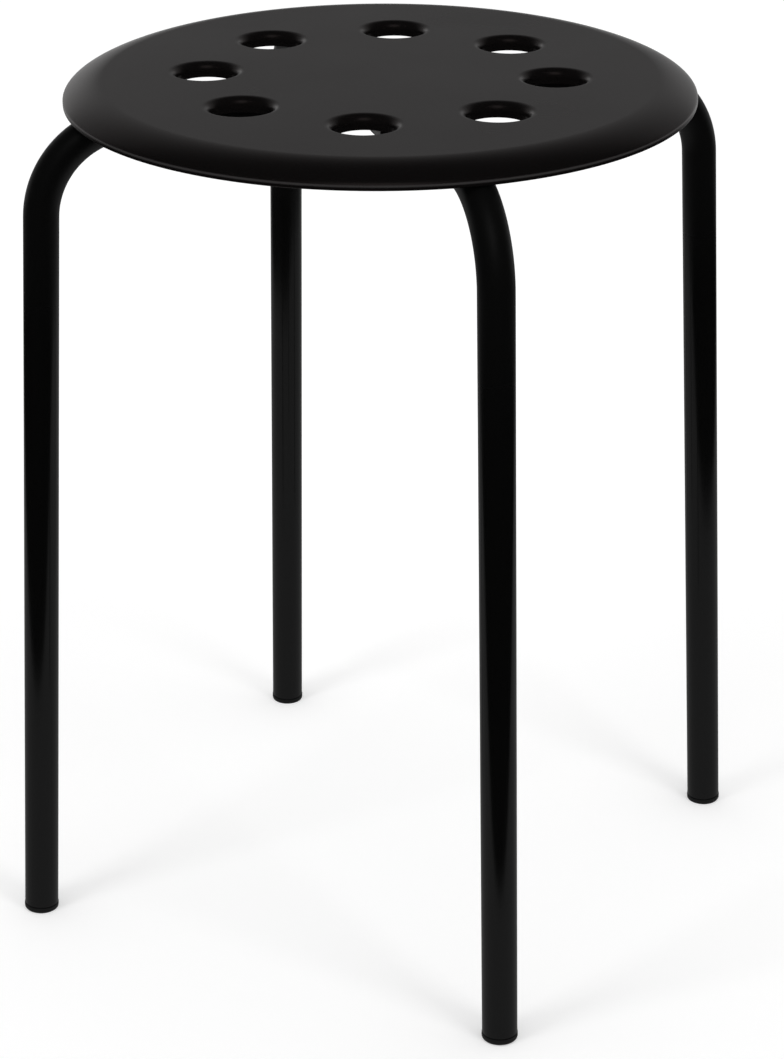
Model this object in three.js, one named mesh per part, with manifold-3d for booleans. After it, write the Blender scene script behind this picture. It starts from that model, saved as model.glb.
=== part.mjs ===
// Stacking stool: one moulded seat on four bent tube legs.
// Millimetres, +Z up, origin on the floor under the middle of the seat.
// The legs lie on the axes: front -Y, right +X, back +Y, left -X.
import * as THREE from 'three';
import { mergeVertices } from 'three/addons/utils/BufferGeometryUtils.js';
import Module from 'manifold-3d';

// Clearances
const touchGap = 0.3;            // between pieces that seat on each other
const cutOverrun = 1;            // how far a cutter runs past what it cuts

// Seat moulding: a shell with a rolled rim
const seatHeight = 450;          // top of the seat above the floor
const seatRadius = 160;          // widest radius, at the rim
const shellWall = 3;
const shoulderWidth = 21.5;      // the roll of the rim, measured inwards
const shoulderDrop = 7.8;        // and downwards to the widest radius
const shoulderPower = 1.45;      // 2 is an ellipse, less is a flatter roll
const lipDrop = 3.5;             // the lip below the widest radius
const lipTuck = 2.4;             // how far the lip turns in
const lipWidth = 1.6;            // its flat lower edge

// Holes in the seat, on one circle, midway between the legs
const holeCount = 8;
const holeCircleRadius = 88.5;
const holeRadius = 15;           // at the narrow part
const holeRounding = 4.5;        // from the top of the seat into the hole
const holeDepth = 7.5;           // from the top of the seat to the end of the collar
const collarWall = 3;

// Ribs under the seat
const ribWidth = 2.4;
const ribFoot = 1.7;             // how far the ribs stop above the lip
const innerRingRadius = 62;
const outerRingRadius = 118;

// Sleeves and saddles that hold the tubes
const sleeveStart = 22;          // from the middle of the seat
const sleeveLength = 22;
const sleeveSideWall = 4.5;
const sleeveFloor = 3;
const sleeveCorner = 7;          // rounding of the lower edges
const saddleWidth = 4;           // along the tube
const saddleReach = 3;           // below the tube's middle, so that the tube snaps in

// Legs: round tube, one bend, splayed outwards
const tubeRadius = 9;
const tubeWall = 1.2;
const tubeDrop = 0.5;            // top of the tube below the seat's plate
const bendRadius = 46.8;         // of the tube's middle line
const legRadiusAtFloor = 195.6;
const legRadiusAtSeat = 173.8;   // where the leg's line would reach the seat's top

// Foot caps
const footHeight = 3.2;          // flange below the tube's end
const footOverhang = 0.2;        // how far the flange stands out from the tube
const footRounding = 1.8;
const plugLength = 15;
const plugWall = 1.8;
const plugRib = 0.6;             // how far a sealing rib stands out from the plug
const plugRibLength = 2;
const plugRibCount = 2;

// Screws that hold the tubes in their sleeves
const screwRadius = 1.9;
const screwReach = 4;            // past the tube's wall, into the tube
const screwTip = 2;
const screwHeadRadius = 4;
const screwHeadHeight = 2.4;
const screwHeadDome = 1.2;
const screwRecessLength = 3.4;
const screwRecessWidth = 0.9;
const screwRecessDepth = 1.3;

// Facets
const seatFacets = 96;
const holeFacets = 24;
const ringFacets = 48;
const tubeFacets = 20;
const bendSteps = 9;
const shoulderSteps = 8;
const hollowSteps = 5;
const roundingSteps = 4;
const footFacets = 24;
const screwFacets = 16;

// Places that follow from the sizes above
const plateUnderside = seatHeight - shellWall;
const rimHeight = seatHeight - shoulderDrop;
const lipHeight = rimHeight - lipDrop;
const shoulderStart = seatRadius - shoulderWidth;
const cavityRadius = seatRadius - lipTuck - lipWidth;
const ribTop = plateUnderside + shellWall / 2;
const ribBottom = lipHeight + ribFoot;
const tubeBore = tubeRadius - tubeWall;
const footRadius = tubeRadius + footOverhang;
const channelRadius = tubeRadius + touchGap;
const runHeight = plateUnderside - tubeDrop - tubeRadius;
const runStart = sleeveStart + sleeveFloor + touchGap;
const sleeveHalfWidth = channelRadius + sleeveSideWall;
const sleeveBottom = runHeight - channelRadius - sleeveFloor;
const screwCircleRadius = sleeveStart + sleeveLength / 2;
const legSlope = (legRadiusAtFloor - legRadiusAtSeat) / seatHeight;
const legTilt = Math.atan(legSlope);
const bendAngle = Math.PI / 2 - legTilt;
const cornerRadius = legRadiusAtFloor - legSlope * runHeight;
const bendStart = cornerRadius - bendRadius * Math.tan(bendAngle / 2);
const quarterTurn = Math.PI / 2;

const plastic = { color: 0x343332, roughness: 0.5, metalness: 0 };
const powderCoat = { color: 0x0b0b0b, roughness: 0.3, metalness: 0 };
const capPlastic = { color: 0x141414, roughness: 0.6, metalness: 0 };
const zincSteel = { color: 0xb4b6b8, roughness: 0.35, metalness: 1 };

const wasm = await Module();
wasm.setup();

function solidOf(geometry) {
  const bare = geometry.clone();
  bare.deleteAttribute('normal');
  bare.deleteAttribute('uv');
  const closed = mergeVertices(bare);
  return new wasm.Manifold(new wasm.Mesh({
    numProp: 3,
    vertProperties: new Float32Array(closed.attributes.position.array),
    triVerts: new Uint32Array(closed.index.array),
  }));
}

function geometryOf(solid) {
  const mesh = solid.getMesh();
  const geometry = new THREE.BufferGeometry();
  geometry.setAttribute('position', new THREE.BufferAttribute(new Float32Array(mesh.vertProperties), 3));
  geometry.setIndex(new THREE.BufferAttribute(new Uint32Array(mesh.triVerts), 1));
  return geometry;
}

// A profile of [radius, height] pairs, outwards and up, turned about the Z axis.
function revolve(profile, facets) {
  const points = profile.map(([radius, height]) => new THREE.Vector2(radius, height));
  return new THREE.LatheGeometry(points, facets).rotateX(quarterTurn);
}

// A ring with a rectangular section, about the Z axis.
function ring(innerRadius, outerRadius, bottom, top) {
  return revolve([
    [innerRadius, bottom],
    [outerRadius, bottom],
    [outerRadius, top],
    [innerRadius, top],
    [innerRadius, bottom],
  ], ringFacets);
}

// Places on a quarter turn from 0 to 1 along both axes, both ends included.
function quarterShares(steps, power = 2) {
  return Array.from({ length: steps + 1 }, (_, step) => {
    const angle = quarterTurn * step / steps;
    return [Math.sin(angle) ** (2 / power), Math.cos(angle) ** (2 / power)];
  });
}

// A box that runs outwards along +X, centred on the X axis.
function bar(fromRadius, toRadius, width, bottom, top) {
  return new THREE.BoxGeometry(toRadius - fromRadius, width, top - bottom)
    .translate((fromRadius + toRadius) / 2, 0, (bottom + top) / 2);
}

// Angles of the legs, and of the holes and ribs between them.
const legAngles = { front: -quarterTurn, right: 0, back: quarterTurn, left: Math.PI };
const holeAngles = Array.from({ length: holeCount }, (_, index) => (index + 0.5) * 2 * Math.PI / holeCount);
const ribAngles = Object.values(legAngles).map((angle) => angle + quarterTurn / 2);

// A rolled shoulder from the widest radius up to the flat top.
function shoulder(widest, top, steps) {
  return quarterShares(steps, shoulderPower).reverse().map(([across, up]) => [
    shoulderStart + (widest - shoulderStart) * across,
    rimHeight + (top - rimHeight) * up,
  ]);
}

// The seat's outer form, closed straight across at the lip.
function seatForm() {
  const lip = quarterShares(roundingSteps).reverse().slice(0, -1).map(([across, up]) => [
    seatRadius - lipTuck + lipTuck * up,
    rimHeight - lipDrop * across,
  ]);
  return revolve([
    [0, lipHeight],
    ...lip,
    ...shoulder(seatRadius, seatHeight, shoulderSteps),
    [0, seatHeight],
  ], seatFacets);
}

// The hollow under the plate, one wall inside the outer form.
function seatHollow() {
  return revolve([
    [0, lipHeight - cutOverrun],
    [cavityRadius, lipHeight - cutOverrun],
    ...shoulder(cavityRadius, plateUnderside, hollowSteps),
    [0, plateUnderside],
  ], seatFacets);
}

// Rounded cutter for one hole, about the Z axis.
function holeCutter() {
  const wide = holeRadius + holeRounding;
  const flare = quarterShares(roundingSteps).map(([across, up]) => [
    wide - holeRounding * across,
    seatHeight - holeRounding + holeRounding * up,
  ]);
  return revolve([
    [0, seatHeight - holeDepth - cutOverrun],
    [holeRadius, seatHeight - holeDepth - cutOverrun],
    ...flare.reverse(),
    [wide, seatHeight + cutOverrun],
    [0, seatHeight + cutOverrun],
  ], holeFacets);
}

// One sleeve along +X: straight sides, a flat floor and rounded lower edges.
function sleeve() {
  const top = ribTop - runHeight;
  const bottom = sleeveBottom - runHeight;
  const arcX = sleeveHalfWidth - sleeveCorner;
  const arcY = bottom + sleeveCorner;
  const section = new THREE.Shape();
  section.moveTo(-sleeveHalfWidth, top);
  section.lineTo(-sleeveHalfWidth, arcY);
  section.absarc(-arcX, arcY, sleeveCorner, Math.PI, 3 * quarterTurn, false);
  section.absarc(arcX, arcY, sleeveCorner, 3 * quarterTurn, 4 * quarterTurn, false);
  section.lineTo(sleeveHalfWidth, top);
  section.closePath();
  return new THREE.ExtrudeGeometry(section, {
    depth: sleeveLength,
    bevelEnabled: false,
    curveSegments: roundingSteps,
  })
    .rotateX(quarterTurn)
    .rotateZ(quarterTurn)
    .translate(sleeveStart, 0, runHeight);
}

// A round bar or cutter that stands upright from bottom to top.
function upright(radius, bottom, top, facets, x, y = 0) {
  return new THREE.CylinderGeometry(radius, radius, top - bottom, facets)
    .rotateX(quarterTurn)
    .translate(x, y, (bottom + top) / 2);
}

// Middle line of one leg in the XZ plane: level run, one bend, splayed straight to the foot.
// The parameter gives each straight one step and the bend its own number of steps.
class LegLine extends THREE.Curve {
  constructor(start) {
    super();
    this.start = start;
  }

  getPoint(share) {
    const step = share * (bendSteps + 2);
    if (step < 1) {
      return new THREE.Vector3(THREE.MathUtils.lerp(this.start, bendStart, step), 0, runHeight);
    }
    const turned = Math.min((step - 1) / bendSteps, 1) * bendAngle;
    const x = bendStart + bendRadius * Math.sin(turned);
    const z = runHeight - bendRadius * (1 - Math.cos(turned));
    const past = Math.max(step - 1 - bendSteps, 0);
    const end = footHeight + touchGap;
    return new THREE.Vector3(x + past * (z - end) * legSlope, 0, z - past * (z - end));
  }

  getPointAt(share) {
    return this.getPoint(share);
  }

  getTangentAt(share) {
    const step = share * (bendSteps + 2);
    const turned = THREE.MathUtils.clamp((step - 1) / bendSteps, 0, 1) * bendAngle;
    return new THREE.Vector3(Math.cos(turned), 0, -Math.sin(turned));
  }
}

function roundSection(radius) {
  return new THREE.Shape().absarc(0, 0, radius, 0, 2 * Math.PI, false);
}

// A section swept along one leg, from the given distance to the middle of the seat.
function alongLeg(section, start) {
  return new THREE.ExtrudeGeometry(section, {
    steps: bendSteps + 2,
    curveSegments: tubeFacets / 2,
    extrudePath: new LegLine(start),
  });
}

function seat() {
  const union = (geometries) => wasm.Manifold.union(geometries.map(solidOf));
  const holePlaces = holeAngles.map((angle) => [
    holeCircleRadius * Math.cos(angle),
    holeCircleRadius * Math.sin(angle),
  ]);
  const ribs = [
    ...[sleeveStart, innerRingRadius, outerRingRadius].map((radius) => ring(
      radius, radius + ribWidth, ribBottom, ribTop)),
    ...ribAngles.map((angle) => bar(sleeveStart, seatRadius, ribWidth, ribBottom, ribTop).rotateZ(angle)),
    ...holePlaces.map(([x, y]) => upright(
      holeRadius + collarWall, seatHeight - holeDepth, ribTop, holeFacets, x, y)),
  ];
  const holders = Object.values(legAngles).flatMap((angle) => [
    sleeve().rotateZ(angle),
    bar(outerRingRadius, outerRingRadius + saddleWidth, sleeveHalfWidth * 2, runHeight - saddleReach, ribTop)
      .rotateZ(angle),
  ]);
  const channels = Object.values(legAngles).flatMap((angle) => [
    alongLeg(roundSection(channelRadius), runStart - touchGap).rotateZ(angle),
    upright(screwRadius + touchGap, sleeveBottom - cutOverrun, runHeight, screwFacets, screwCircleRadius)
      .rotateZ(angle),
  ]);
  const holes = holePlaces.map(([x, y]) => holeCutter().translate(x, y, 0));
  const hollow = solidOf(seatHollow()).subtract(union(ribs));
  const body = solidOf(seatForm()).subtract(hollow).add(union(holders));
  return geometryOf(body.subtract(union([...channels, ...holes])));
}

function legTube() {
  const section = roundSection(tubeRadius);
  section.holes.push(roundSection(tubeBore));
  const tube = alongLeg(section, runStart);
  const pilot = upright(screwRadius + touchGap, runHeight - tubeRadius - cutOverrun, runHeight, screwFacets,
    screwCircleRadius);
  return geometryOf(solidOf(tube).subtract(solidOf(pilot)));
}

// Foot cap: a flange a little wider than the tube, flat on the floor, and a ribbed plug inside the tube.
function footCap() {
  const plugRadius = tubeBore - touchGap;
  const core = plugRadius - plugRib;
  const ribPitch = (plugLength - plugRibLength) / plugRibCount;
  const ribs = Array.from({ length: plugRibCount }, (_, index) => {
    const start = footHeight + ribPitch * (index + 0.5);
    return [
      [core, start],
      [plugRadius, start + plugRibLength / 2],
      [core, start + plugRibLength],
    ];
  }).flat();
  const below = footRadius * legSlope;
  const edge = quarterShares(roundingSteps).map(([across, up]) => [
    footRadius - footRounding + footRounding * across,
    footRounding * (1 - up) - below,
  ]);
  const profile = [
    [0, -below],
    ...edge,
    [footRadius, footHeight],
    [core, footHeight],
    ...ribs,
    [core, footHeight + plugLength],
    [core - plugWall, footHeight + plugLength],
    [core - plugWall, footHeight],
    [0, footHeight],
  ];
  const cap = revolve(profile, footFacets)
    .rotateY(-legTilt)
    .translate(legRadiusAtFloor, 0, 0);
  const cutWidth = 2 * (footRadius + cutOverrun);
  const floorCut = new THREE.BoxGeometry(cutWidth, cutWidth, footHeight)
    .translate(legRadiusAtFloor, 0, -footHeight / 2);
  return geometryOf(solidOf(cap).subtract(solidOf(floorCut)));
}

// Pan-head screw, head down, with a cross recess.
function screw() {
  const headTop = sleeveBottom - touchGap;
  const headBottom = headTop - screwHeadHeight;
  const end = runHeight - tubeBore + screwReach;
  const dome = quarterShares(roundingSteps).map(([across, up]) => [
    screwHeadRadius * across,
    headBottom + screwHeadDome * (1 - up),
  ]);
  const body = revolve([
    ...dome,
    [screwHeadRadius, headTop],
    [screwRadius, headTop],
    [screwRadius, end - screwTip],
    [0, end],
  ], screwFacets).translate(screwCircleRadius, 0, 0);
  const slot = new THREE.BoxGeometry(screwRecessLength, screwRecessWidth, screwRecessDepth * 2)
    .translate(0, 0, headBottom);
  const slots = [slot.clone(), slot.rotateZ(quarterTurn)].map((geometry) => solidOf(
    geometry.translate(screwCircleRadius, 0, 0)));
  return geometryOf(slots.reduce((rest, cut) => rest.subtract(cut), solidOf(body)));
}

const stool = new THREE.Group();

function place(name, geometry, finish, angle = 0) {
  const mesh = new THREE.Mesh(geometry, new THREE.MeshStandardMaterial(finish));
  mesh.name = name;
  mesh.rotation.z = angle;
  stool.add(mesh);
}

place('seat', seat(), plastic);
for (const [side, angle] of Object.entries(legAngles)) {
  place(`leg_${side}`, legTube(), powderCoat, angle);
  place(`foot_${side}`, footCap(), capPlastic, angle);
  place(`screw_${side}`, screw(), zincSteel, angle);
}

export default stool;
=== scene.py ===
"""Stacking stool: smooth pieces, finishes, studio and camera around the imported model."""
import math

import bpy
from bpy.props import FloatProperty, FloatVectorProperty, IntProperty, PointerProperty
from mathutils import Matrix, Vector


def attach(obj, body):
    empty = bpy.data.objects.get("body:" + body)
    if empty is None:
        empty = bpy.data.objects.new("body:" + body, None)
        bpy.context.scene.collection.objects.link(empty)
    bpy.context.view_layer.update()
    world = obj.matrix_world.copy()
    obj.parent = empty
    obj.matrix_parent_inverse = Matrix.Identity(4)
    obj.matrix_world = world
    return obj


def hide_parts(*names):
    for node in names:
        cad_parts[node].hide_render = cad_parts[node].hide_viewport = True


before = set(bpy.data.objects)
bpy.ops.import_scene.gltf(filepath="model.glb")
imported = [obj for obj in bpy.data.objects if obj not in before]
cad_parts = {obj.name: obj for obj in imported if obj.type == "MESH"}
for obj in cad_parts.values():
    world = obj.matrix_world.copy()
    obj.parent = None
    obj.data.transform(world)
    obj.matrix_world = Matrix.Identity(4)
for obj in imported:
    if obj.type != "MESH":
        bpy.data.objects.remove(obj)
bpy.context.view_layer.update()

bl_info = {
    "name": "Stacking Stool",
    "version": (1, 0, 0),
    "blender": (4, 5, 0),
    "location": "View3D > Sidebar > Stool",
    "description": "Round plastic seat with finger holes on four bent tube legs, and a plain studio",
    "category": "Add Mesh",
}

QUARTER = math.pi / 2
TURN = 2 * math.pi
# Degrees about the middle of the stool, from the right leg.
SIDES = {"front": -90, "right": 0, "back": 90, "left": 180}
# Points closer than this count as one.
SAME_PLACE = 1e-6
# Edges that turn by more than this stay sharp.
SHARP = math.radians(35)
# Steps of a full turn.
SEAT_STEPS = 192
HOLE_STEPS = 96
TUBE_STEPS = 64
SCREW_STEPS = 48
PILOT_STEPS = 24
# Steps of a quarter turn.
BEND_STEPS = 32
ROLL_STEPS = 24
ROUNDING_STEPS = 10
EDGE_STEPS = 8
LIP_STEPS = 6
# Degrees about the stool, from the camera's side.
SOFTBOXES = {"softbox_left": -52, "softbox_right": 42}
# Light panels: degrees clockwise from straight behind, degrees above the horizon, the soft edge from and to in
# degrees from the panel's middle, and brightness.
PANELS = ((-22, 4, 6, 18, 0.35), (22, 4, 6, 18, 0.15), (180, 46, 9, 22, 0.3))


def srgb(hex_colour):
    """Linear red, green and blue of an sRGB hex colour."""
    parts = [int(hex_colour[i:i + 2], 16) / 255 for i in (1, 3, 5)]
    return tuple(c / 12.92 if c <= 0.04045 else ((c + 0.055) / 1.055) ** 2.4 for c in parts)


def length(name, description, default):
    """A length in metres."""
    return FloatProperty(name=name, description=description, default=default, unit="LENGTH",
                         subtype="DISTANCE")


def number(name, description, default):
    """A plain number."""
    return FloatProperty(name=name, description=description, default=default)


def colour(name, description, default):
    """A colour, given as sRGB hex."""
    return FloatVectorProperty(name=name, description=description, default=srgb(default), subtype="COLOR",
                               size=3, min=0, max=1)


def angle(name, description, degrees):
    """An angle, given in degrees."""
    return FloatProperty(name=name, description=description, default=math.radians(degrees), subtype="ANGLE")


class SeatSettings(bpy.types.PropertyGroup):
    """Sizes of the seat moulding."""
    height: length("Height", "Top of the seat above the floor", 0.450)
    radius: length("Radius", "Widest radius, at the rim", 0.160)
    wall: length("Wall", "Thickness of the plate", 0.003)
    shoulder_width: length("Shoulder width", "Roll of the rim, inwards", 0.0194)
    shoulder_drop: length("Shoulder drop", "Roll of the rim, downwards", 0.0085)
    shoulder_power: number("Shoulder power", "2 is an ellipse, less is flatter", 1.58)
    lip_drop: length("Lip drop", "Lip below the widest radius", 0.0023)
    lip_tuck: length("Lip tuck", "Rounding under the lip", 0.0006)
    lip_width: length("Lip width", "Flat lower edge of the lip", 0.0034)
    hole_circle: length("Hole circle", "Radius on which the finger holes lie", 0.0885)
    hole_radius: length("Hole radius", "Narrow part of a finger hole", 0.015)
    hole_rounding: length("Hole rounding", "From the top of the seat into a hole", 0.0045)
    hole_depth: length("Hole depth", "Top of the seat to the end of the collar", 0.0075)
    collar_wall: length("Collar wall", "Thickness of the collar round a hole", 0.003)
    holes: IntProperty(name="Holes", description="Finger holes in the seat", default=8)
    rib_width: length("Rib width", "Thickness of the ribs", 0.0024)
    rib_foot: length("Rib foot", "Ribs stop this far above the lip", 0.0012)
    inner_ring: length("Inner ring", "Radius of the inner ring rib", 0.062)
    outer_ring: length("Outer ring", "Radius of the outer ring rib", 0.118)
    sleeve_start: length("Sleeve start", "Sleeves from the middle of the seat", 0.022)
    sleeve_length: length("Sleeve length", "Length of a sleeve", 0.022)
    sleeve_side: length("Sleeve side", "Wall beside the tube", 0.0045)
    sleeve_floor: length("Sleeve floor", "Wall below and behind the tube", 0.003)
    sleeve_corner: length("Sleeve corner", "Rounding of the lower edges", 0.007)
    saddle_width: length("Saddle width", "Along the tube", 0.004)
    saddle_reach: length("Saddle reach", "Below the middle of the tube", 0.003)
    tone: colour("Colour", "Black plastic of the seat", "#0a0909")
    # Paler colour of the painted highlight round the widest edge of the rim.
    seam: colour("Seam", "Burnished line where the mould parts", "#333232")


class LegSettings(bpy.types.PropertyGroup):
    """Sizes of the tubes."""
    radius: length("Tube radius", "Outside radius of the tube", 0.009)
    wall: length("Tube wall", "Thickness of the steel", 0.0012)
    drop: length("Tube drop", "Tube below the plate of the seat", 0.0005)
    bend: length("Bend radius", "Of the middle line", 0.0468)
    floor_radius: length("Radius at the floor", "Middle line at the floor", 0.1956)
    seat_radius: length("Radius at the seat", "Leg's line at the top of the seat", 0.1738)
    gap: length("Gap", "Between pieces that seat on each other", 0.0003)
    tone: colour("Colour", "Black powder coat", "#060606")


class FootSettings(bpy.types.PropertyGroup):
    """Sizes of the foot caps."""
    height: length("Height", "Flange below the end of the tube", 0.0032)
    overhang: length("Overhang", "Flange outside the tube", 0.0002)
    rounding: length("Rounding", "Lower edge of the flange", 0.0018)
    plug: length("Plug length", "Inside the tube", 0.015)
    plug_wall: length("Plug wall", "Thickness of the hollow plug", 0.0018)
    plug_rib: length("Plug rib", "Sealing ribs outside the plug", 0.0006)
    plug_rib_length: length("Plug rib length", "Along the plug", 0.002)
    plug_ribs: IntProperty(name="Plug ribs", description="Sealing ribs on the plug", default=2)
    tone: colour("Colour", "Black polyethylene", "#090909")


class ScrewSettings(bpy.types.PropertyGroup):
    """Sizes of the screws."""
    radius: length("Radius", "Outside the thread", 0.0019)
    reach: length("Reach", "Past the wall of the tube", 0.004)
    tip: length("Tip", "Length of the point", 0.002)
    pitch: length("Pitch", "Of the thread", 0.0012)
    thread: length("Thread depth", "Crest to root", 0.0004)
    head: length("Head radius", "Of the pan head", 0.004)
    head_height: length("Head height", "Of the pan head", 0.0024)
    dome: length("Dome", "Rounding of the head", 0.0012)
    cross_length: length("Cross length", "Across the recess", 0.0034)
    cross_width: length("Cross width", "Of each arm", 0.0009)
    cross_depth: length("Cross depth", "Of the recess", 0.0013)
    tone: colour("Colour", "Zinc plate", "#b4b6b8")


class StageSettings(bpy.types.PropertyGroup):
    """Camera, lamps and floor."""
    distance: length("Camera distance", "From the middle of the stool", 1.5947)
    aim: length("Aim height", "Height that the camera looks at", 0.22424)
    azimuth: angle("Azimuth", "Camera about the stool", -17.53)
    elevation: angle("Elevation", "Camera above the floor", 23.37)
    turn: angle("Turn", "Camera to the right", -0.29)
    roll: angle("Roll", "Camera about its own view", -0.21)
    film: number("Film", "Width of the film, in mm", 36)
    focal: number("Focal length", "Lens for that film, in mm", 101.39)
    shift_x: number("Shift X", "Share of the frame", 0.0242)
    shift_y: number("Shift Y", "Share of the frame", -0.0423)
    lamp: FloatProperty(name="Lamp power", description="Each softbox", default=6.5, unit="POWER")
    lamp_size: length("Lamp size", "Side of each square softbox", 0.5)
    lamp_distance: length("Lamp distance", "From the foot of the stool", 2.2)
    lamp_rise: angle("Lamp elevation", "Softboxes above the floor", 52)
    lamp_aim: length("Lamp aim", "Height that the softboxes look at", 0.25)
    fill: number("Fill", "Even light from all round", 0.7)
    white: colour("Floor", "Pale floor", "#e8e8e8")
    floor_size: length("Floor size", "Side of the floor", 40)
    field: number("Lit field", "Brightness of the floor as gloss sees it", 0.222)
    field_side: length("Lit field, side", "Half its width", 0.78)
    field_start: length("Lit field, start", "Behind the middle of the stool, where it begins to narrow", 0.5)
    field_reach: length("Lit field, reach", "From there towards the camera", 0.875)
    field_corner: number("Lit field, corners", "2 is an ellipse, more is squarer", 2.5)
    backdrop: number("Backdrop", "Brightness behind the stool as gloss sees it", 0.2)
    fade_from: angle("Fade from", "Elevation at which the backdrop begins to fade", 22)
    fade_to: angle("Fade to", "Elevation at which it has faded", 58)


# Editing


def only(piece):
    """Selects this piece alone."""
    bpy.ops.object.select_all(action="DESELECT")
    piece.select_set(True)
    bpy.context.view_layer.objects.active = piece


def finish_mesh(piece, name):
    """Merges doubles, turns the faces outwards, and shades by angle."""
    only(piece)
    bpy.ops.object.mode_set(mode="EDIT")
    bpy.ops.mesh.select_all(action="SELECT")
    bpy.ops.mesh.remove_doubles(threshold=SAME_PLACE)
    bpy.ops.mesh.normals_make_consistent(inside=False)
    bpy.ops.object.mode_set(mode="OBJECT")
    bpy.ops.object.transform_apply(location=True, rotation=True, scale=True)
    bpy.ops.object.shade_smooth_by_angle(angle=SHARP)
    piece.name = name
    piece.data.name = name
    return piece


def spun(name, profile, steps, centre=(0, 0)):
    """A profile of (radius, height) points, drawn by extruding a vertex and spun about an upright line."""
    bpy.ops.object.select_all(action="DESELECT")
    x, y = centre
    # The plane is merged to one point, where the profile begins.
    bpy.ops.mesh.primitive_plane_add(size=0.01, location=(x + profile[0][0], y, profile[0][1]))
    bpy.ops.object.mode_set(mode="EDIT")
    bpy.ops.mesh.merge(type="CENTER")
    for (r0, z0), (r1, z1) in zip(profile, profile[1:]):
        bpy.ops.mesh.extrude_region_move(TRANSFORM_OT_translate={"value": (r1 - r0, 0, z1 - z0)})
    bpy.ops.mesh.select_all(action="SELECT")
    bpy.ops.mesh.spin(steps=steps, angle=TURN, center=(x, y, 0), axis=(0, 0, 1))
    bpy.ops.object.mode_set(mode="OBJECT")
    return finish_mesh(bpy.context.object, name)


def turned(piece, name, degrees):
    """A copy of a piece with its own mesh, turned about the middle of the stool."""
    only(piece)
    bpy.ops.object.duplicate(linked=False)
    copy = bpy.context.object
    copy.rotation_euler.z = math.radians(degrees)
    bpy.ops.object.transform_apply(location=True, rotation=True, scale=True)
    copy.name = name
    copy.data.name = name
    return copy


def box(name, low, high):
    """A box between two corners."""
    bpy.ops.object.select_all(action="DESELECT")
    bpy.ops.mesh.primitive_cube_add(size=1, location=[(a + b) / 2 for a, b in zip(low, high)],
                                    scale=[b - a for a, b in zip(low, high)])
    return finish_mesh(bpy.context.object, name)


def rounded_below(piece, bottom, radius):
    """Rounds the lower edges that run along X."""
    bpy.ops.object.mode_set(mode="EDIT")
    bpy.ops.mesh.select_all(action="DESELECT")
    bpy.ops.object.mode_set(mode="OBJECT")
    points = piece.data.vertices
    for edge in piece.data.edges:
        a, b = (points[i].co for i in edge.vertices)
        edge.select = max(abs(a.z - bottom), abs(b.z - bottom), abs(a.y - b.y)) < SAME_PLACE
    bpy.ops.object.mode_set(mode="EDIT")
    bpy.ops.mesh.select_mode(type="EDGE")
    bpy.ops.mesh.bevel(offset=radius, segments=EDGE_STEPS, affect="EDGES")
    bpy.ops.mesh.select_mode(type="VERT")
    bpy.ops.object.mode_set(mode="OBJECT")
    return finish_mesh(piece, piece.name)


def leg_line(scene):
    """Height of the level run, slope of the leg, angle of the bend, and where the bend begins."""
    s, leg = scene.stool_seat, scene.stool_legs
    run = s.height - s.wall - leg.drop - leg.radius
    slope = (leg.floor_radius - leg.seat_radius) / s.height
    bend_angle = QUARTER - math.atan(slope)
    return run, slope, bend_angle, leg.floor_radius - slope * run - leg.bend * math.tan(bend_angle / 2)


def bent(name, radius, begin, end):
    """Open skin of a round bar along the right leg: level, bent down, and straight to the end height."""
    run, slope, bend_angle, bend_start = leg_line(bpy.context.scene)
    centre = (bend_start, 0, run - bpy.context.scene.stool_legs.bend)
    bpy.ops.object.select_all(action="DESELECT")
    bpy.ops.mesh.primitive_circle_add(vertices=TUBE_STEPS, radius=radius, location=(begin, 0, run),
                                      rotation=(0, QUARTER, 0))
    bar = bpy.context.object
    bpy.ops.object.transform_apply(location=True, rotation=True, scale=True)
    bpy.ops.object.mode_set(mode="EDIT")
    bpy.ops.mesh.select_all(action="SELECT")
    bpy.ops.mesh.extrude_region_move(TRANSFORM_OT_translate={"value": (bend_start - begin, 0, 0)})
    bpy.ops.mesh.spin(steps=BEND_STEPS, angle=-bend_angle, center=centre, axis=(0, 1, 0))
    bpy.ops.object.mode_set(mode="OBJECT")
    last = [v.co.z for v in bar.data.vertices if v.select]
    fall = sum(last) / len(last) - end
    bpy.ops.object.mode_set(mode="EDIT")
    bpy.ops.mesh.extrude_region_move(TRANSFORM_OT_translate={"value": (fall * slope, 0, -fall)})
    bpy.ops.object.mode_set(mode="OBJECT")
    return finish_mesh(bar, name)


def combine(piece, others, operation):
    """Boolean with each of the other solids, which are then removed."""
    for other in others:
        only(piece)
        modifier = piece.modifiers.new("cut", "BOOLEAN")
        modifier.operation = operation
        modifier.solver = "EXACT"
        modifier.object = other
        bpy.ops.object.modifier_apply(modifier=modifier.name)
        bpy.data.objects.remove(other)
    return piece


def cap_ends(piece):
    """Closes the open ends of a skin."""
    only(piece)
    bpy.ops.object.mode_set(mode="EDIT")
    bpy.ops.mesh.select_all(action="SELECT")
    bpy.ops.mesh.region_to_loop()
    bpy.ops.mesh.edge_face_add()
    bpy.ops.object.mode_set(mode="OBJECT")
    return finish_mesh(piece, piece.name)


def pilot_hole(s, top, bottom, radius):
    """Cutter for the screw's hole in a sleeve or in a tube."""
    return spun("pilot", [(0, bottom), (radius, bottom), (radius, top), (0, top)], PILOT_STEPS,
                (s.sleeve_start + s.sleeve_length / 2, 0))


def apply(piece, kind, **settings):
    """Adds a modifier with its settings and applies it."""
    only(piece)
    modifier = piece.modifiers.new(kind.title(), kind)
    for key, value in settings.items():
        setattr(modifier, key, value)
    bpy.ops.object.modifier_apply(modifier=modifier.name)


def dress(piece, node, material):
    """Puts a finished piece in the place of its CAD node."""
    piece.data.materials.clear()
    piece.data.materials.append(material)
    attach(piece, "root")
    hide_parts(node)


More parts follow.
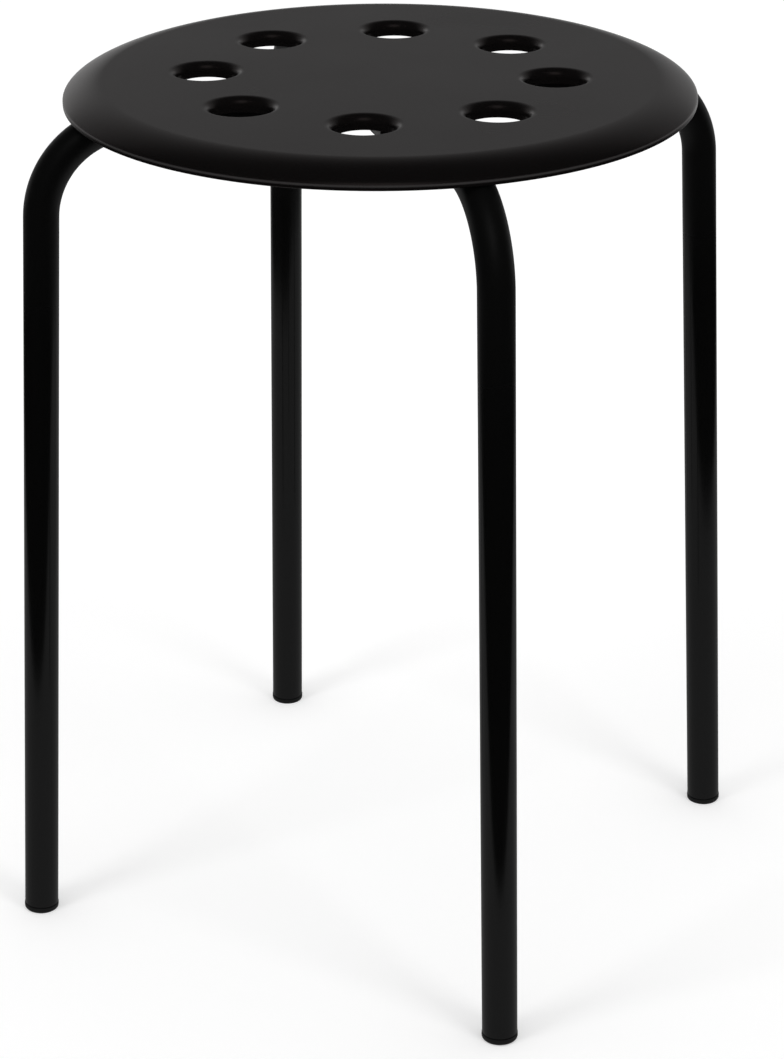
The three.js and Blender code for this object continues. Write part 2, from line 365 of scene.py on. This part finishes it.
def quarter(steps, power=2.0):
    """Shares along both axes of a quarter turn, from (0, 1) to (1, 0)."""
    angles = [QUARTER * i / steps for i in range(steps + 1)]
    return [(abs(math.sin(a)) ** (2 / power), abs(math.cos(a)) ** (2 / power)) for a in angles]


# Materials


def new_material(name):
    """A material with an empty node tree."""
    material = bpy.data.materials.new(name)
    material.use_nodes = True
    material.node_tree.nodes.clear()
    return material


def node(tree, kind, inputs=None, links=None, **settings):
    """Adds a node with its settings, its constant inputs and its links."""
    made = tree.nodes.new(kind)
    for key, value in settings.items():
        setattr(made, key, value)
    for key, value in (inputs or {}).items():
        made.inputs[key].default_value = value
    for key, (source, output) in (links or {}).items():
        tree.links.new(source.outputs[output], made.inputs[key])
    return made


def textured_polypropylene(tone, seam, edge):
    """Polypropylene moulded in a spark-eroded tool: satin black, evenly grained, with a painted highlight at
    the rim.
    """
    material = new_material("textured_polypropylene")
    tree = material.node_tree
    place = node(tree, "ShaderNodeTexCoord")
    # Real grain is about 0.2 mm; it is drawn at about 0.7 mm, the finest that shows in the render.
    grain = node(tree, "ShaderNodeTexNoise", {"Scale": 1400.0, "Detail": 2.0, "Roughness": 0.6},
                 {"Vector": (place, "Object")})
    # Slow drift of the gloss where the melt met the cooler tool, some 60 mm across.
    drift = node(tree, "ShaderNodeTexNoise", {"Scale": 16.0, "Detail": 2.0}, {"Vector": (place, "Object")})
    rough = node(tree, "ShaderNodeMapRange", {"To Min": 0.22, "To Max": 0.3}, {"Value": (drift, "Fac")})
    bump = node(tree, "ShaderNodeBump", {"Strength": 0.25, "Distance": 0.00008}, {"Height": (grain, "Fac")})
    # A painted highlight, a paler line about 1 mm wide, runs round the widest edge where the rim catches the
    # light.
    flat = node(tree, "ShaderNodeVectorMath", {1: (1, 1, 0)}, {0: (place, "Object")}, operation="MULTIPLY")
    radius = node(tree, "ShaderNodeVectorMath", links={0: (flat, "Vector")}, operation="LENGTH")
    split = node(tree, "ShaderNodeSeparateXYZ", links={"Vector": (place, "Object")})
    pair = node(tree, "ShaderNodeCombineXYZ", links={"X": (radius, "Value"), "Z": (split, "Z")})
    away = node(tree, "ShaderNodeVectorMath", {1: (edge[0], 0, edge[1])}, {0: (pair, "Vector")},
                operation="DISTANCE")
    line = node(tree, "ShaderNodeMapRange", {
        "From Min": 0.0002, "From Max": 0.0008, "To Min": 1.0, "To Max": 0.0}, {"Value": (away, "Value")})
    # Painted highlight: the paler colour is blended in along the rim.
    blend = node(tree, "ShaderNodeMix", {"A": (*tone, 1), "B": (*seam, 1)}, data_type="RGBA")
    tree.links.new(line.outputs[0], blend.inputs[0])
    shader = node(tree, "ShaderNodeBsdfPrincipled", {"IOR": 1.49, "Specular Tint": (*srgb("#ffeae7"), 1)},
                  {"Roughness": (rough, "Result"), "Normal": (bump, "Normal")})
    tree.links.new(blend.outputs[2], shader.inputs["Base Color"])
    node(tree, "ShaderNodeOutputMaterial", links={"Surface": (shader, "BSDF")})
    return material


def gloss_powder_coat(tone):
    """Polyester powder baked on steel: glossy black with the low orange peel of a cured powder."""
    material = new_material("gloss_powder_coat")
    tree = material.node_tree
    place = node(tree, "ShaderNodeTexCoord")
    # Orange peel has a pitch of about 2.5 mm.
    peel = node(tree, "ShaderNodeTexNoise", {"Scale": 400.0, "Detail": 1.0, "Roughness": 0.4},
                {"Vector": (place, "Object")})
    bump = node(tree, "ShaderNodeBump", {"Strength": 0.12, "Distance": 0.0001}, {"Height": (peel, "Fac")})
    # The gloss drifts over some 30 mm, as the powder lay thicker or thinner.
    cloud = node(tree, "ShaderNodeTexNoise", {"Scale": 30.0, "Detail": 3.0}, {"Vector": (place, "Object")})
    satin = node(tree, "ShaderNodeMapRange", {"To Min": 0.12, "To Max": 0.18}, {"Value": (cloud, "Fac")})
    # The stretched steel of the bends leaves the coat duller towards the seat.
    height = node(tree, "ShaderNodeSeparateXYZ", links={"Vector": (place, "Object")})
    bend = node(tree, "ShaderNodeMapRange", {"From Min": 0.3, "From Max": 0.41, "To Min": 0.0, "To Max": 0.3},
                {"Value": (height, "Z")}, interpolation_type="SMOOTHSTEP")
    rough = node(tree, "ShaderNodeMath", links={0: (satin, "Result"), 1: (bend, "Result")}, operation="ADD")
    shader = node(tree, "ShaderNodeBsdfPrincipled", {"Base Color": (*tone, 1), "IOR": 1.5},
                  {"Roughness": (rough, "Value"), "Normal": (bump, "Normal")})
    node(tree, "ShaderNodeOutputMaterial", links={"Surface": (shader, "BSDF")})
    return material


def moulded_polyethylene(tone):
    """Polyethylene caps: waxy dull black, scuffed paler on the edge that meets the floor."""
    material = new_material("moulded_polyethylene")
    tree = material.node_tree
    place = node(tree, "ShaderNodeTexCoord")
    height = node(tree, "ShaderNodeSeparateXYZ", links={"Vector": (place, "Object")})
    scuff = node(tree, "ShaderNodeTexNoise", {"Scale": 900.0, "Detail": 4.0}, {"Vector": (place, "Object")})
    # Scuffs reach about 1.5 mm up from the floor.
    low = node(tree, "ShaderNodeMapRange", {
        "From Min": 0.0, "From Max": 0.0015, "To Min": 1.0, "To Max": 0.0}, {"Value": (height, "Z")})
    share = node(tree, "ShaderNodeMath", links={0: (low, "Result"), 1: (scuff, "Fac")}, operation="MULTIPLY")
    # Scuffed plastic is a little over twice as pale.
    worn = tuple(c * 2.2 + 0.004 for c in tone)
    blend = node(tree, "ShaderNodeMix", {"A": (*tone, 1), "B": (*worn, 1)}, data_type="RGBA")
    tree.links.new(share.outputs[0], blend.inputs[0])
    bump = node(tree, "ShaderNodeBump", {"Strength": 0.3, "Distance": 0.00005}, {"Height": (scuff, "Fac")})
    shader = node(tree, "ShaderNodeBsdfPrincipled", {"Roughness": 0.5, "IOR": 1.51},
                  {"Normal": (bump, "Normal")})
    tree.links.new(blend.outputs[2], shader.inputs["Base Color"])
    node(tree, "ShaderNodeOutputMaterial", links={"Surface": (shader, "BSDF")})
    return material


def zinc_plated_steel(tone):
    """Bright zinc on a cold-headed screw: silvery with faint clouds."""
    material = new_material("zinc_plated_steel")
    tree = material.node_tree
    place = node(tree, "ShaderNodeTexCoord")
    # Clouds in the plate, about 1.5 mm across.
    cloud = node(tree, "ShaderNodeTexNoise", {"Scale": 650.0, "Detail": 3.0}, {"Vector": (place, "Object")})
    rough = node(tree, "ShaderNodeMapRange", {"To Min": 0.22, "To Max": 0.42}, {"Value": (cloud, "Fac")})
    shader = node(tree, "ShaderNodeBsdfPrincipled", {"Base Color": (*tone, 1), "Metallic": 1.0},
                  {"Roughness": (rough, "Result")})
    node(tree, "ShaderNodeOutputMaterial", links={"Surface": (shader, "BSDF")})
    return material


def studio_floor(stage, heading):
    """Pale paper sweep: keeps the shadows, and is lifted to white for the camera."""
    material = new_material("paper_sweep")
    tree = material.node_tree
    ray = node(tree, "ShaderNodeLightPath")
    paper = node(tree, "ShaderNodeBsdfDiffuse", {"Color": (*stage.white, 1)})
    # What gloss sees of the sweep is a lit field with round corners towards the camera.
    place = node(tree, "ShaderNodeTexCoord")
    across = node(tree, "ShaderNodeVectorMath", {1: heading @ Vector((1, 0, 0))}, {0: (place, "Object")},
                  operation="DOT_PRODUCT")
    along = node(tree, "ShaderNodeVectorMath", {1: heading @ Vector((0, 1, 0))}, {0: (place, "Object")},
                 operation="DOT_PRODUCT")
    # The camera sees it a little brighter behind the stool than in front.
    rise = node(tree, "ShaderNodeMapRange", {
        "From Min": -0.2, "From Max": 0.6, "To Min": 0.3, "To Max": 0.43}, {"Value": (along, "Value")})
    lift = node(tree, "ShaderNodeEmission", links={"Strength": (rise, "Result")})
    shown = node(tree, "ShaderNodeAddShader", links={0: (paper, "BSDF"), 1: (lift, "Emission")})
    past = node(tree, "ShaderNodeMath", {1: stage.field_start}, {0: (along, "Value")}, operation="SUBTRACT")
    front = node(tree, "ShaderNodeMath", {1: 0.0}, {0: (past, "Value")}, operation="MINIMUM")
    field = None
    for source, reach in ((across, stage.field_side), (front, stage.field_reach)):
        share = node(tree, "ShaderNodeMath", {1: reach}, {0: (source, "Value")}, operation="DIVIDE")
        size = node(tree, "ShaderNodeMath", links={0: (share, "Value")}, operation="ABSOLUTE")
        power = node(tree, "ShaderNodeMath", {1: stage.field_corner}, {0: (size, "Value")}, operation="POWER")
        field = power if field is None else node(tree, "ShaderNodeMath", links={
            0: (field, "Value"), 1: (power, "Value")}, operation="ADD")
    seen = node(tree, "ShaderNodeMapRange", {
        "From Min": 0.94, "From Max": 1.07, "To Min": stage.field, "To Max": 0.006},
        {"Value": (field, "Value")}, interpolation_type="SMOOTHSTEP")
    # Far behind, the sweep is as bright as the backdrop.
    far = node(tree, "ShaderNodeMapRange", {
        "From Min": 0.8, "From Max": 1.8, "To Min": 0.0, "To Max": 0.5}, {"Value": (along, "Value")})
    total = node(tree, "ShaderNodeMath", links={0: (seen, "Result"), 1: (far, "Result")}, operation="ADD")
    mirror = node(tree, "ShaderNodeEmission", links={"Strength": (total, "Value")})
    camera_or_gloss = node(tree, "ShaderNodeMixShader", links={
        "Fac": (ray, "Is Glossy Ray"), 1: (paper, "BSDF"), 2: (mirror, "Emission")})
    final = node(tree, "ShaderNodeMixShader", links={
        "Fac": (ray, "Is Camera Ray"), 1: (camera_or_gloss, "Shader"), 2: (shown, "Shader")})
    node(tree, "ShaderNodeOutputMaterial", links={"Surface": (final, "Shader")})
    return material


def panel(tree, place, direction, inner, outer, strength):
    """A round patch of light for gloss, with a soft edge between two angles from its middle."""
    toward = node(tree, "ShaderNodeVectorMath", {1: direction}, {0: (place, "Generated")},
                  operation="DOT_PRODUCT")
    return node(tree, "ShaderNodeMapRange", {
        "From Min": math.cos(math.radians(outer)), "From Max": math.cos(math.radians(inner)),
        "To Min": 0.0, "To Max": strength}, {"Value": (toward, "Value")}, interpolation_type="SMOOTHSTEP")


def compass(heading, turn, rise):
    """Direction from the stool: degrees clockwise from straight behind it, and above the horizon."""
    turn, rise = math.radians(turn), math.radians(rise)
    level = math.cos(rise)
    return heading @ Vector((level * math.sin(turn), level * math.cos(turn), math.sin(rise)))


def studio_world(stage, heading):
    """White for the camera, an even fill for the surfaces, and for gloss a backdrop and light panels."""
    world = bpy.data.worlds.new("studio")
    bpy.context.scene.world = world
    world.use_nodes = True
    tree = world.node_tree
    tree.nodes.clear()
    ray = node(tree, "ShaderNodeLightPath")
    place = node(tree, "ShaderNodeTexCoord")
    split = node(tree, "ShaderNodeSeparateXYZ", links={"Vector": (place, "Generated")})
    # The backdrop fades out upwards and to the sides.
    low = node(tree, "ShaderNodeMapRange", {
        "From Min": math.sin(stage.fade_from), "From Max": math.sin(stage.fade_to),
        "To Min": 1.0, "To Max": 0.04}, {"Value": (split, "Z")}, interpolation_type="SMOOTHSTEP")
    facing = node(tree, "ShaderNodeVectorMath", {1: compass(heading, 0, 0)}, {0: (place, "Generated")},
                  operation="DOT_PRODUCT")
    back = node(tree, "ShaderNodeMapRange", {
        "From Min": 0.2, "From Max": 0.7, "To Min": 0.01, "To Max": stage.backdrop},
        {"Value": (facing, "Value")}, interpolation_type="SMOOTHSTEP")
    total = node(tree, "ShaderNodeMath", links={0: (low, "Result"), 1: (back, "Result")},
                 operation="MULTIPLY")
    for turn, rise, inner, outer, strength in PANELS:
        patch = panel(tree, place, compass(heading, turn, rise), inner, outer, strength)
        total = node(tree, "ShaderNodeMath", links={0: (total, "Value"), 1: (patch, "Result")},
                     operation="ADD")
    gloss = node(tree, "ShaderNodeMix", {"A": stage.fill}, {"B": (total, "Value")}, data_type="FLOAT")
    tree.links.new(ray.outputs["Is Glossy Ray"], gloss.inputs[0])
    shown = node(tree, "ShaderNodeMix", {"B": 1.0}, {"A": (gloss, "Result")}, data_type="FLOAT")
    tree.links.new(ray.outputs["Is Camera Ray"], shown.inputs[0])
    light = node(tree, "ShaderNodeBackground", {"Color": (1, 1, 1, 1)}, {"Strength": (shown, "Result")})
    node(tree, "ShaderNodeOutputWorld", links={"Surface": (light, "Background")})


# Pieces


class STOOL_OT_seat(bpy.types.Operator):
    """Model the seat moulding with its holes, ribs, sleeves and saddles"""
    bl_idname = "stool.seat"
    bl_label = "Seat"

    def execute(self, context):
        s, leg, screw = context.scene.stool_seat, context.scene.stool_legs, context.scene.stool_screws
        underside = s.height - s.wall
        rim = s.height - s.shoulder_drop
        lip = rim - s.lip_drop
        start = s.radius - s.shoulder_width
        cavity = s.radius - s.lip_tuck - s.lip_width
        run = leg_line(context.scene)[0]
        channel = leg.radius + leg.gap

        def shoulder(widest, top, steps):
            return [(start + (widest - start) * a, rim + (top - rim) * b)
                    for a, b in reversed(quarter(steps, s.shoulder_power))]

        outer = [(s.radius - s.lip_tuck * (1 - b), lip + s.lip_tuck * (1 - a))
                 for a, b in reversed(quarter(LIP_STEPS))]
        inner = list(reversed(shoulder(cavity, underside, ROUNDING_STEPS)))
        roll = shoulder(s.radius, s.height, ROLL_STEPS)
        profile = [(0, underside), *inner, (cavity, lip), *outer, *roll, (0, s.height)]
        seat = spun("seat_moulding", profile, SEAT_STEPS)

        top, foot = underside + s.wall / 2, lip + s.rib_foot
        ribs = []
        for radius in (s.sleeve_start, s.inner_ring, s.outer_ring):
            wide = radius + s.rib_width
            ring = [(radius, foot), (wide, foot), (wide, top), (radius, top), (radius, foot)]
            ribs.append(spun("ring", ring, HOLE_STEPS))
        bar = box("rib", (s.sleeve_start, -s.rib_width / 2, foot), (s.radius, s.rib_width / 2, top))
        # The radial ribs end a quarter of the wall inside the shell.
        reach = cavity + s.wall / 4
        within = [(0, lip), (reach, lip), *shoulder(reach, top, ROUNDING_STEPS), (0, top)]
        combine(bar, [spun("within", within, SEAT_STEPS)], "INTERSECT")
        between = 360 / len(SIDES) / 2
        ribs += [turned(bar, "rib", between + a) for a in SIDES.values()]
        bpy.data.objects.remove(bar)
        places = [TURN * (i + 0.5) / s.holes for i in range(s.holes)]
        places = [(s.hole_circle * math.cos(a), s.hole_circle * math.sin(a)) for a in places]
        collar, low = s.hole_radius + s.collar_wall, s.height - s.hole_depth
        tube = [(0, low), (collar, low), (collar, top), (0, top)]
        ribs += [spun("collar", tube, TUBE_STEPS, p) for p in places]
        holders = []
        half, bottom = channel + s.sleeve_side, run - channel - s.sleeve_floor
        sleeve = rounded_below(box("sleeve", (s.sleeve_start, -half, bottom),
                                   (s.sleeve_start + s.sleeve_length, half, top)), bottom, s.sleeve_corner)
        saddle = box("saddle", (s.outer_ring, -half, run - s.saddle_reach),
                     (s.outer_ring + s.saddle_width, half, top))
        for side in SIDES.values():
            holders += [turned(sleeve, "sleeve", side), turned(saddle, "saddle", side)]
        bpy.data.objects.remove(sleeve)
        bpy.data.objects.remove(saddle)
        combine(seat, ribs + holders, "UNION")

        # The bore follows the leg down to half its height, well past the seat.
        bore = bent("bore", channel, s.sleeve_start + s.sleeve_floor, run / 2)
        cap_ends(bore)
        pilot = pilot_hole(s, run, bottom - s.wall, screw.radius + leg.gap)
        cuts = []
        for side in SIDES.values():
            cuts += [turned(bore, "bore", side), turned(pilot, "pilot", side)]
        bpy.data.objects.remove(bore)
        bpy.data.objects.remove(pilot)
        wide, above = s.hole_radius + s.hole_rounding, s.height + s.wall
        flare = [(wide - s.hole_rounding * a, s.height - s.hole_rounding * (1 - b))
                 for a, b in quarter(ROUNDING_STEPS)]
        hole = [(0, low - s.wall), (s.hole_radius, low - s.wall), *reversed(flare), (wide, above), (0, above)]
        cuts += [spun("hole", hole, HOLE_STEPS, p) for p in places]
        combine(seat, cuts, "DIFFERENCE")
        finish_mesh(seat, "seat_moulding")
        apply(seat, "WEIGHTED_NORMAL", keep_sharp=True, weight=100)
        dress(seat, "seat", textured_polypropylene(s.tone, s.seam, (s.radius, rim)))
        return {"FINISHED"}


class STOOL_OT_legs(bpy.types.Operator):
    """Bend the four steel tubes"""
    bl_idname = "stool.legs"
    bl_label = "Legs"

    def execute(self, context):
        s, leg = context.scene.stool_seat, context.scene.stool_legs
        foot, screw = context.scene.stool_feet, context.scene.stool_screws
        run = leg_line(context.scene)[0]
        tube = bent("tube", leg.radius, s.sleeve_start + s.sleeve_floor + leg.gap, foot.height + leg.gap)
        apply(tube, "SOLIDIFY", thickness=leg.wall, offset=-1)
        combine(tube, [pilot_hole(s, run, run - 2 * leg.radius, screw.radius + leg.gap)], "DIFFERENCE")
        finish_mesh(tube, "tube")
        coat = gloss_powder_coat(leg.tone)
        for side, turn in SIDES.items():
            dress(turned(tube, "tube_" + side, turn), "leg_" + side, coat)
        bpy.data.objects.remove(tube)
        return {"FINISHED"}


class STOOL_OT_feet(bpy.types.Operator):
    """Mould the four foot caps with their plugs"""
    bl_idname = "stool.feet"
    bl_label = "Foot caps"

    def execute(self, context):
        leg, foot = context.scene.stool_legs, context.scene.stool_feet
        slope = leg_line(context.scene)[1]
        wide = leg.radius + foot.overhang
        below = wide * slope
        plug = leg.radius - leg.wall - leg.gap
        core = plug - foot.plug_rib
        pitch = (foot.plug - foot.plug_rib_length) / foot.plug_ribs
        ribs = []
        for index in range(foot.plug_ribs):
            start = foot.height + pitch * (index + 0.5)
            ribs += [(core, start), (plug, start + foot.plug_rib_length / 2),
                     (core, start + foot.plug_rib_length)]
        edge = [(wide - foot.rounding * (1 - a), foot.rounding * (1 - b) - below)
                for a, b in quarter(EDGE_STEPS)]
        top, hollow = foot.height + foot.plug, core - foot.plug_wall
        cap = spun("foot", [(0, -below), *edge, (wide, foot.height - foot.overhang),
                            (wide - foot.overhang, foot.height), (core, foot.height), *ribs, (core, top),
                            (hollow, top), (hollow, foot.height), (0, foot.height)], TUBE_STEPS)
        only(cap)
        cap.rotation_euler.y = -math.atan(slope)
        cap.location.x = leg.floor_radius
        bpy.ops.object.transform_apply(location=True, rotation=True, scale=True)
        bpy.ops.object.mode_set(mode="EDIT")
        bpy.ops.mesh.select_all(action="SELECT")
        bpy.ops.mesh.bisect(plane_co=(0, 0, 0), plane_no=(0, 0, 1), use_fill=True, clear_inner=True,
                            threshold=SAME_PLACE)
        bpy.ops.object.mode_set(mode="OBJECT")
        finish_mesh(cap, "foot")
        rubber = moulded_polyethylene(foot.tone)
        for side, turn in SIDES.items():
            dress(turned(cap, "cap_" + side, turn), "foot_" + side, rubber)
        bpy.data.objects.remove(cap)
        return {"FINISHED"}


class STOOL_OT_screws(bpy.types.Operator):
    """Turn the four pan-head screws"""
    bl_idname = "stool.screws"
    bl_label = "Screws"

    def execute(self, context):
        s, leg, screw = context.scene.stool_seat, context.scene.stool_legs, context.scene.stool_screws
        run = leg_line(context.scene)[0]
        head_top = run - leg.radius - leg.gap - s.sleeve_floor - leg.gap
        head_low = head_top - screw.head_height
        end = run - leg.radius + leg.wall + screw.reach
        where = s.sleeve_start + s.sleeve_length / 2
        dome = [(screw.head * a, head_low + screw.dome * (1 - b)) for a, b in quarter(ROUNDING_STEPS)]
        root = screw.radius - screw.thread
        turns = int((end - screw.tip - head_top) / screw.pitch)
        thread = []
        for index in range(turns):
            z = head_top + index * screw.pitch
            thread += [(root, z), (screw.radius, z + screw.pitch / 2)]
        piece = spun("screw", [*dome, (screw.head, head_top), *thread, (root, head_top + turns * screw.pitch),
                               (0, end)], SCREW_STEPS, (where, 0))
        half, thin = screw.cross_length / 2, screw.cross_width / 2
        low, high = head_low - screw.dome, head_low + screw.cross_depth
        arms = [box("arm", (where - x, -y, low), (where + x, y, high))
                for x, y in ((half, thin), (thin, half))]
        combine(piece, arms, "DIFFERENCE")
        finish_mesh(piece, "screw")
        zinc = zinc_plated_steel(screw.tone)
        for side, turn in SIDES.items():
            dress(turned(piece, "pan_screw_" + side, turn), "screw_" + side, zinc)
        bpy.data.objects.remove(piece)
        return {"FINISHED"}


class STOOL_OT_stage(bpy.types.Operator):
    """Set the floor, the lamps, the world and the camera"""
    bl_idname = "stool.stage"
    bl_label = "Studio"

    def execute(self, context):
        stage = context.scene.stool_stage
        heading = Matrix.Rotation(stage.azimuth, 4, "Z")
        bpy.ops.object.select_all(action="DESELECT")
        bpy.ops.mesh.primitive_plane_add(size=stage.floor_size)
        floor = bpy.context.object
        floor.name = "floor"
        floor.data.materials.append(studio_floor(stage, heading))

        toward_lamp = Vector((0, -math.cos(stage.lamp_rise), math.sin(stage.lamp_rise))) * stage.lamp_distance
        for name, side in SOFTBOXES.items():
            bpy.ops.object.light_add(type="AREA")
            lamp = bpy.context.object
            lamp.name = name
            lamp.data.shape = "SQUARE"
            lamp.data.size = stage.lamp_size
            lamp.data.energy = stage.lamp
            lamp.visible_glossy = False
            place = heading @ Matrix.Rotation(math.radians(side), 4, "Z") @ toward_lamp
            lamp.location = place
            lamp.rotation_euler = (Vector((0, 0, stage.lamp_aim)) - place).to_track_quat("-Z", "Y").to_euler()
        studio_world(stage, heading)

        bpy.ops.object.camera_add()
        camera = bpy.context.object
        camera.name = "camera"
        camera.data.lens = stage.focal
        camera.data.sensor_width = stage.film
        camera.data.shift_x = stage.shift_x
        camera.data.shift_y = stage.shift_y
        away = Vector((0, -math.cos(stage.elevation), math.sin(stage.elevation))) * stage.distance
        place = heading @ (away + Vector((0, 0, stage.aim)))
        look = (heading @ Matrix.Rotation(QUARTER - stage.elevation, 4, "X")
                @ Matrix.Rotation(-stage.turn, 4, "Y") @ Matrix.Rotation(stage.roll, 4, "Z"))
        camera.matrix_world = Matrix.Translation(place) @ look
        context.scene.camera = camera
        context.scene.view_settings.view_transform = "Standard"
        return {"FINISHED"}


class STOOL_PT_build(bpy.types.Panel):
    """Buttons and sizes of the stool"""
    bl_idname = "STOOL_PT_build"
    bl_label = "Stacking Stool"
    bl_space_type = "VIEW_3D"
    bl_region_type = "UI"
    bl_category = "Stool"

    def draw(self, context):
        for operator, group in BUILD:
            self.layout.operator(operator.bl_idname)
            settings = getattr(context.scene, group)
            column = self.layout.column(align=True)
            for name in type(settings).__annotations__:
                column.prop(settings, name)


GROUPS = {"stool_seat": SeatSettings, "stool_legs": LegSettings, "stool_feet": FootSettings,
          "stool_screws": ScrewSettings, "stool_stage": StageSettings}
BUILD = [(STOOL_OT_seat, "stool_seat"), (STOOL_OT_legs, "stool_legs"), (STOOL_OT_feet, "stool_feet"),
         (STOOL_OT_screws, "stool_screws"), (STOOL_OT_stage, "stool_stage")]
CLASSES = [*GROUPS.values(), *(operator for operator, _ in BUILD), STOOL_PT_build]


def register():
    for item in CLASSES:
        bpy.utils.register_class(item)
    for name, group in GROUPS.items():
        setattr(bpy.types.Scene, name, PointerProperty(type=group))


def unregister():
    for name in GROUPS:
        delattr(bpy.types.Scene, name)
    for item in reversed(CLASSES):
        bpy.utils.unregister_class(item)


def main():
    register()
    bpy.ops.stool.seat()
    bpy.ops.stool.legs()
    bpy.ops.stool.feet()
    bpy.ops.stool.screws()
    bpy.ops.stool.stage()


if __name__ == "__main__":
    main()
